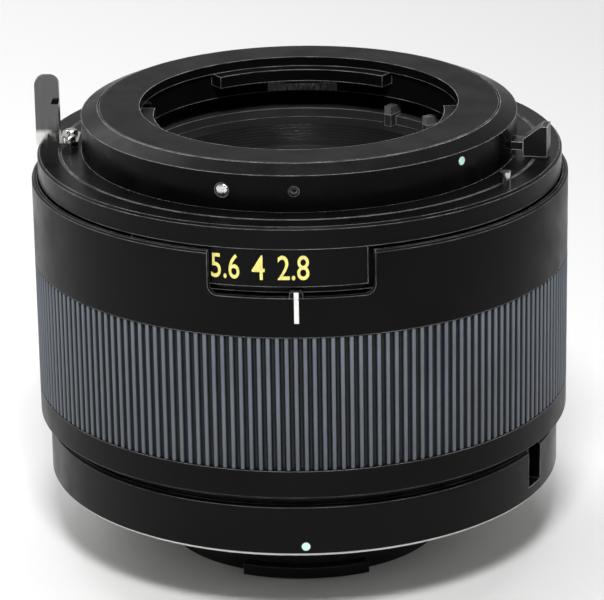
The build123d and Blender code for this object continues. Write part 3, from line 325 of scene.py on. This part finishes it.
def paint(name, base):
    """Filled-in paint or enamel, a little uneven."""

    def build(tree, shader):
        tone = ramp(tree, object_noise(tree, 1500.0), tuple(0.8 * c for c in base), base)
        tree.links.new(tone, shader.inputs["Base Color"])
        tree.links.new(ramp(tree, object_noise(tree, 2500.0), 0.35, 0.5), shader.inputs["Roughness"])

    return node_material(name, build)


def lens_glass(name):
    """Coated glass with a violet and amber sheen."""

    def build(tree, shader):
        facing = add(tree, "ShaderNodeLayerWeight", Blend=0.35)
        tone = ramp(tree, facing.outputs["Facing"], (0.30, 0.34, 0.62), (0.62, 0.50, 0.36), 0.1, 0.8)
        tree.links.new(tone, shader.inputs["Base Color"])
        tree.links.new(ramp(tree, object_noise(tree, 400.0), 0.01, 0.04), shader.inputs["Roughness"])
        shader.inputs["Transmission Weight"].default_value = 1.0
        shader.inputs["IOR"].default_value = 1.62
        shader.inputs["Coat Weight"].default_value = 0.6

    return node_material(name, build)


def pale_floor():
    """A pale sheet with painted shade, darker towards +X."""

    def build(tree, shader):
        coordinates = add(tree, "ShaderNodeTexCoord")
        parts = add(tree, "ShaderNodeSeparateXYZ")
        tree.links.new(coordinates.outputs["Object"], parts.inputs["Vector"])
        # Painted shade: the floor's colour falls from 0.74 to 0.40 across X.
        painted_shade_across = band(tree, parts.outputs["X"], -0.15, 0.35)
        tree.links.new(ramp(tree, painted_shade_across, 0.74, 0.40, 0.0, 1.0), shader.inputs["Base Color"])
        shader.inputs["Roughness"].default_value = 0.6

    return node_material("pale_floor", build)


def slot_materials():
    """One finish for each of the record's material slots."""
    steel = (0.74, 0.73, 0.70)
    return {
        "barrel_black": black_metal("barrel_black", (0.0030, 0.0030, 0.0033), 0.34, 0.07, 0.22),
        "collar_black": black_metal("collar_black", (0.0022, 0.0022, 0.0025), 0.26, 0.06, 0.30),
        "scale_black": black_metal("scale_black", (0.0028, 0.0028, 0.0031), 0.30, 0.08, 0.28),
        "bayonet_black": black_metal("bayonet_black", (0.0025, 0.0025, 0.0028), 0.32, 0.05, 0.32),
        "rear_black": height_finish(
            black_metal("rear_black", (0.0030, 0.0030, 0.0034), 0.34, 0.08, 0.30),
            REAR_SEAT_Z + 0.42 * MM,
            REAR_SEAT_Z + 0.34 * MM,
            steel,
            True,
        ),
        "rear_bayonet_black": black_metal("rear_bayonet_black", (0.004, 0.004, 0.004), 0.42, 0.2, 0.1),
        "baffle_black": turned_black("baffle_black", (0.012, 0.012, 0.012)),
        "cell_black": black_metal("cell_black", (0.005, 0.005, 0.005), 0.45, 0.25, 0.12),
        "coupling_black": height_finish(
            black_metal("coupling_black", (0.02, 0.02, 0.02), 0.40, 0.4, 0.3),
            STOP_TAB_BLACK_Z,
            STOP_TAB_BARE_Z,
            steel,
            True,
        ),
        "release_black": black_metal("release_black", (0.010, 0.010, 0.0105), 0.30, 0.2, 0.55),
        "set_screw_black": black_metal("set_screw_black", (0.03, 0.03, 0.03), 0.35, 0.5, 0.3),
        "grip_rubber": rubber("grip_rubber", (0.004, 0.0045, 0.006), (0.092, 0.104, 0.124)),
        "lever_steel": height_finish(
            bright_metal("lever_steel", steel, 0.16), LEVER_BRIGHT_Z, LEVER_DARK_Z, 0.10, False
        ),
        "screw_steel": bright_metal("screw_steel", (0.78, 0.77, 0.75), 0.20),
        "spring_steel": bright_metal("spring_steel", (0.55, 0.54, 0.52), 0.28),
        "index_green": paint("index_green", (0.66, 0.98, 0.82)),
        "coated_glass": lens_glass("coated_glass"),
    }


def dress_frame(frame, materials):
    """Finishes, smooth shading and small rounded edges on the CAD nodes."""
    slots = {row["node"]: row["material_slot"] for row in frame["record"]["subparts"]}
    for name, node in frame["nodes"].items():
        material = materials[slots[name]]
        if not node.material_slots:
            node.data.materials.append(material)
        for material_slot in node.material_slots:
            material_slot.material = material
        node.data.shade_smooth()
        node.data.set_sharp_from_angle(angle=SMOOTH_ANGLE)
        if slots[name] in ("coated_glass", "spring_steel", "index_green"):
            continue
        rounding = node.modifiers.new("rounded_edges", "BEVEL")
        rounding.width = EDGE_WIDTH
        rounding.segments = EDGE_SEGMENTS
        rounding.limit_method = "ANGLE"
        rounding.angle_limit = radians(40)
        rounding.harden_normals = True


def on_ring(radius, angle, height):
    """A point by radius, angle from the front and height."""
    return Vector((radius * sin(radians(angle)), -radius * cos(radians(angle)), height))


def add_piece(name, mesh, body, material, replaced=()):
    """Puts a finished mesh into the scene on its body and material slot."""
    piece = bpy.data.objects.new(name, mesh)
    bpy.context.scene.collection.objects.link(piece)
    mesh.materials.clear()
    mesh.materials.append(material)
    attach(piece, body)
    if replaced:
        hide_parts(*replaced)
    return piece


def make_grip(materials):
    """The ribbed rubber sleeve: rounded ribs with flat grooves, eased at both ends."""
    low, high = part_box("grip_sleeve")
    levels = ((low[2], 1), (low[2] + RIB_END, 0), (high[2] - RIB_END, 0), (high[2], 1))
    section = []
    for rib in range(RIB_COUNT):
        for place, depth in RIB_SHARES:
            section.append((360.0 * (rib + place) / RIB_COUNT, depth))
    count = len(section)
    mesh = bpy.data.meshes.new("ribbed_grip")
    builder = bmesh.new()
    rows = []
    for height, ended in levels:
        row = []
        for angle, depth in section:
            radius = BARREL_RADIUS - RIB_DEPTH * depth - ended * RIB_END * (1 - depth)
            row.append(builder.verts.new(on_ring(radius, angle, height)))
        rows.append(row)
    for height in (high[2], low[2]):
        inner = BARREL_RADIUS - GRIP_WALL
        rows.append([builder.verts.new(on_ring(inner, angle, height)) for angle, _ in section])
    rows.append(rows[0])
    for first, second in zip(rows, rows[1:]):
        for index in range(count):
            after = (index + 1) % count
            builder.faces.new((first[index], first[after], second[after], second[index]))
    builder.to_mesh(mesh)
    builder.free()
    mesh.shade_smooth()
    mesh.set_sharp_from_angle(angle=radians(40))
    add_piece("ribbed_grip", mesh, "housing", materials["grip_rubber"], ("grip_sleeve",))


def wrapped(mesh, radius, angle, low_z, thickness):
    """Bends a flat mesh drawn in X and Y round the axis; Y becomes height."""
    for vertex in mesh.vertices:
        turn = angle + vertex.co.x / radius * 180 / pi
        out = radius + (thickness if vertex.co.z > 0 else -thickness)
        vertex.co = on_ring(out, turn, low_z + vertex.co.y)


def make_number(text, angle, width, material):
    """One painted number on the raised pad."""
    curve = bpy.data.curves.new("number", "FONT")
    curve.body = text
    curve.extrude = PAINT_THICKNESS
    curve.offset = NUMBER_BOLDNESS
    curve.resolution_u = 6
    drawn = bpy.data.objects.new("number", curve)
    bpy.context.scene.collection.objects.link(drawn)
    graph = bpy.context.evaluated_depsgraph_get()
    mesh = bpy.data.meshes.new_from_object(drawn.evaluated_get(graph))
    bpy.data.objects.remove(drawn)
    low = [min(v.co[axis] for v in mesh.vertices) for axis in range(2)]
    high = [max(v.co[axis] for v in mesh.vertices) for axis in range(2)]
    for vertex in mesh.vertices:
        vertex.co.x = ((vertex.co.x - low[0]) / (high[0] - low[0]) - 0.5) * width
        vertex.co.y = (vertex.co.y - low[1]) / (high[1] - low[1]) * NUMBER_HEIGHT
    wrapped(mesh, NUMBER_RADIUS, angle, NUMBER_LOW_Z, PAINT_THICKNESS)
    name = "number_" + text.replace(".", "_")
    add_piece(name, mesh, "aperture_scale", material)


def wrapped_plate(name, corners, radius, low_z, half_depth):
    """A flat outline given thickness and bent round the axis at the index line."""
    mesh = bpy.data.meshes.new(name)
    builder = bmesh.new()
    rows = []
    for side in (1, -1):
        rows.append([builder.verts.new((x, y, side * half_depth)) for x, y in corners])
    builder.faces.new(rows[0])
    builder.faces.new(reversed(rows[1]))
    for index in range(len(corners)):
        after = (index + 1) % len(corners)
        builder.faces.new((rows[0][after], rows[0][index], rows[1][index], rows[1][after]))
    builder.to_mesh(mesh)
    builder.free()
    wrapped(mesh, radius, INDEX_ANGLE, low_z, half_depth)
    return mesh


def make_index_line(material):
    """The painted line on the barrel that the numbers are read against."""
    half, rise = INDEX_WIDTH / 2, INDEX_HIGH_Z - INDEX_LOW_Z
    corners = [(-half, 0), (half, 0), (half, rise), (-half, rise)]
    middle = BARREL_RADIUS - PAINT_THICKNESS
    mesh = wrapped_plate("index_line", corners, middle, INDEX_LOW_Z, PAINT_THICKNESS)
    add_piece("index_line", mesh, "housing", material)


def make_index_tab(material):
    """The small tab of barrel skin that carries the index line into the window."""
    half, corner, rise = TAB_WIDTH / 2, TAB_CORNER, TAB_HIGH_Z - TAB_LOW_Z
    corners = [(-half, 0), (half, 0), (half, rise - corner), (half - corner, rise)]
    corners += [(corner - half, rise), (-half, rise - corner)]
    middle = BARREL_RADIUS - TAB_THICKNESS / 2 - PAINT_THICKNESS
    mesh = wrapped_plate("index_tab", corners, middle, TAB_LOW_Z, TAB_THICKNESS / 2)
    add_piece("index_tab", mesh, "housing", material)


def cut_head(radius, height, dome, cutter_size, sides):
    """A screw head on the XY plane with a slot (sides 4) or a hexagon socket (sides 6) in its top."""
    head = bpy.data.meshes.new("head")
    builder = bmesh.new()
    profile = [(0.0, 0.0), (radius, 0.0), (radius, height * 0.45)]
    steps = 5
    for step in range(1, steps + 1):
        share = step / steps * pi / 2
        out = radius - dome * (1 - cos(share)) - dome * 0.3 * sin(share)
        profile.append((out, height * (0.45 + 0.55 * sin(share))))
    profile.append((0.0, height))
    points = [builder.verts.new((x, 0, z)) for x, z in profile]
    edges = [builder.edges.new(pair) for pair in zip(points, points[1:])]
    bmesh.ops.spin(
        builder, geom=points + edges, cent=(0, 0, 0), axis=(0, 0, 1), angle=2 * pi, steps=40
    )
    bmesh.ops.remove_doubles(builder, verts=builder.verts, dist=1e-7)
    bmesh.ops.recalc_face_normals(builder, faces=builder.faces)
    builder.to_mesh(head)
    builder.free()
    tool = bpy.data.meshes.new("tool")
    builder = bmesh.new()
    length, width, depth = cutter_size
    if sides == 4:
        bmesh.ops.create_cube(builder, size=1.0)
        bmesh.ops.scale(builder, vec=(length, width, 2 * depth), verts=builder.verts)
    else:
        bmesh.ops.create_cone(
            builder, cap_ends=True, segments=sides, radius1=width, radius2=width, depth=2 * depth
        )
    bmesh.ops.translate(builder, vec=(0, 0, height), verts=builder.verts)
    builder.to_mesh(tool)
    builder.free()
    head_object = bpy.data.objects.new("head", head)
    tool_object = bpy.data.objects.new("tool", tool)
    for temporary in (head_object, tool_object):
        bpy.context.scene.collection.objects.link(temporary)
    cut = head_object.modifiers.new("slot", "BOOLEAN")
    cut.object = tool_object
    cut.operation = "DIFFERENCE"
    cut.solver = "EXACT"
    graph = bpy.context.evaluated_depsgraph_get()
    result = bpy.data.meshes.new_from_object(head_object.evaluated_get(graph))
    for temporary in (head_object, tool_object):
        bpy.data.objects.remove(temporary)
    return result


def place_copies(name, head, places, body, material, replaced):
    """Joins copies of one head, each at its matrix, into one piece."""
    builder = bmesh.new()
    for place in places:
        copy = head.copy()
        copy.transform(place)
        builder.from_mesh(copy)
    mesh = bpy.data.meshes.new(name)
    builder.to_mesh(mesh)
    builder.free()
    mesh.shade_smooth()
    mesh.set_sharp_from_angle(angle=radians(35))
    add_piece(name, mesh, body, material, replaced)


def facing_out(point, turn):
    """A place on the collar's side: Z points outward, turned by turn degrees about it."""
    outward = Vector((point.x, point.y, 0)).normalized()
    spin = Matrix.Rotation(radians(turn), 4, "Z")
    return Matrix.Translation(point) @ outward.to_track_quat("Z", "Y").to_matrix().to_4x4() @ spin


def make_screws(materials):
    """Slotted, domed and socket heads in place of the frame's plain ones."""
    steel = materials["screw_steel"]
    slot_head = cut_head(0.84 * MM, 0.55 * MM, 0.20 * MM, (2.4 * MM, 0.24 * MM, 0.28 * MM), 4)
    places = []
    for angle, turn in zip(COLLAR_SCREW_ANGLES, (35.0, 70.0, 10.0)):
        places.append(facing_out(on_ring(COLLAR_RADIUS - 0.5 * MM, angle, COLLAR_SCREW_Z), turn))
    place_copies("collar_screw_heads", slot_head, places, "housing", steel, ("collar_screws",))

    places = []
    outward = on_ring(1.0, LEVER_ANGLE, 0.0)
    sideways = Vector((-outward.y, outward.x, 0))
    for side, turn in ((-1, 20.0), (1, 75.0)):
        point = outward * LEVER_SCREW_RADIUS + sideways * (side * LEVER_SCREW_OFFSET)
        point.z = LEVER_FOOT_TOP_Z
        places.append(Matrix.Translation(point) @ Matrix.Rotation(radians(turn), 4, "Z"))
    hidden = ("aperture_lever_screws",)
    place_copies("lever_screw_heads", slot_head, places, "aperture_scale", steel, hidden)

    rear_head = cut_head(1.18 * MM, 0.78 * MM, 0.15 * MM, (3.4 * MM, 0.32 * MM, 0.35 * MM), 4)
    places = []
    for angle, turn in zip(REAR_SCREW_ANGLES, (15.0, 60.0, 100.0, 150.0)):
        point = on_ring(REAR_SCREW_PLACE_RADIUS, angle, REAR_SEAT_Z + REAR_HEAD_SUNK)
        spin = Matrix.Rotation(radians(turn), 4, "Z")
        places.append(Matrix.Translation(point) @ Matrix.Rotation(pi, 4, "X") @ spin)
    hidden = ("rear_mount_screws",)
    place_copies("rear_screw_heads", rear_head, places, "housing", steel, hidden)

    socket = cut_head(0.59 * MM, 1.0 * MM, 0.08 * MM, (0.0, 0.30 * MM, 0.5 * MM), 6)
    end = COLLAR_RADIUS - SET_SCREW_RECESS - 1.0 * MM
    place = facing_out(on_ring(end, SET_SCREW_ANGLE, SET_SCREW_Z), 0.0)
    black = materials["set_screw_black"]
    hidden = ("collar_set_screw",)
    place_copies("set_screw_socket", socket, [place], "housing", black, hidden)


def make_camera():
    """The camera at the photograph's angle."""
    data = bpy.data.cameras.new("camera")
    data.lens = CAMERA_LENS
    data.sensor_width = 36.0
    camera = bpy.data.objects.new("camera", data)
    bpy.context.scene.collection.objects.link(camera)
    target = Vector((0, 0, CAMERA_TARGET_Z))
    tilt = radians(CAMERA_ELEVATION)
    camera.location = target + CAMERA_DISTANCE * Vector((0, -cos(tilt), sin(tilt)))
    look = (target - camera.location).to_track_quat("-Z", "Y").to_matrix().to_4x4()
    camera.rotation_euler = (look @ Matrix.Rotation(radians(CAMERA_ROLL), 4, "Z")).to_euler()
    data.clip_start = 0.01
    bpy.context.scene.camera = camera


def add_light(name, place, size, power, target=(0, 0, 0.03)):
    """A soft rectangular light aimed at the object."""
    data = bpy.data.lights.new(name, "AREA")
    data.shape = "RECTANGLE"
    data.size, data.size_y = size
    data.energy = power
    light = bpy.data.objects.new(name, data)
    bpy.context.scene.collection.objects.link(light)
    light.location = place
    light.rotation_euler = (Vector(target) - Vector(place)).to_track_quat("-Z", "Y").to_euler()


def make_stage():
    """Pale floor painted darker towards +X as shade, soft studio lights and a pale surrounding that is
    darker towards the viewer.
    """
    mesh = bpy.data.meshes.new("floor")
    half = FLOOR_HALF
    corners = [(-half, -half, 0), (half, -half, 0), (half, half, 0), (-half, half, 0)]
    mesh.from_pydata(corners, [], [(0, 1, 2, 3)])
    mesh.materials.append(pale_floor())
    floor = bpy.data.objects.new("floor", mesh)
    bpy.context.scene.collection.objects.link(floor)

    world = bpy.data.worlds.new("studio")
    world.use_nodes = True
    tree = world.node_tree
    coordinates = add(tree, "ShaderNodeTexCoord")
    parts = add(tree, "ShaderNodeSeparateXYZ")
    depth = add(tree, "ShaderNodeMapRange")
    depth.inputs["From Min"].default_value = -1.0
    tree.links.new(coordinates.outputs["Generated"], parts.inputs["Vector"])
    tree.links.new(parts.outputs["Y"], depth.inputs["Value"])
    tone = ramp(tree, depth.outputs["Result"], 0.22, 1.0, 0.25, 0.62)
    background = tree.nodes["Background"]
    tree.links.new(tone, background.inputs["Color"])
    background.inputs["Strength"].default_value = 0.54
    bpy.context.scene.world = world

    for light in LIGHTS:
        add_light(*light)
    bpy.context.scene.view_settings.view_transform = "Standard"


def main():
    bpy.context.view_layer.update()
    materials = slot_materials()
    dress_frame(frame, materials)
    make_camera()
    make_grip(materials)
    yellow = paint("number_yellow", (0.88, 0.80, 0.22))
    for text, angle, width in NUMBERS:
        make_number(text, angle, width, yellow)
    make_index_tab(materials["barrel_black"])
    make_index_line(paint("index_white", (0.85, 0.85, 0.82)))
    make_screws(materials)
    make_stage()


main()
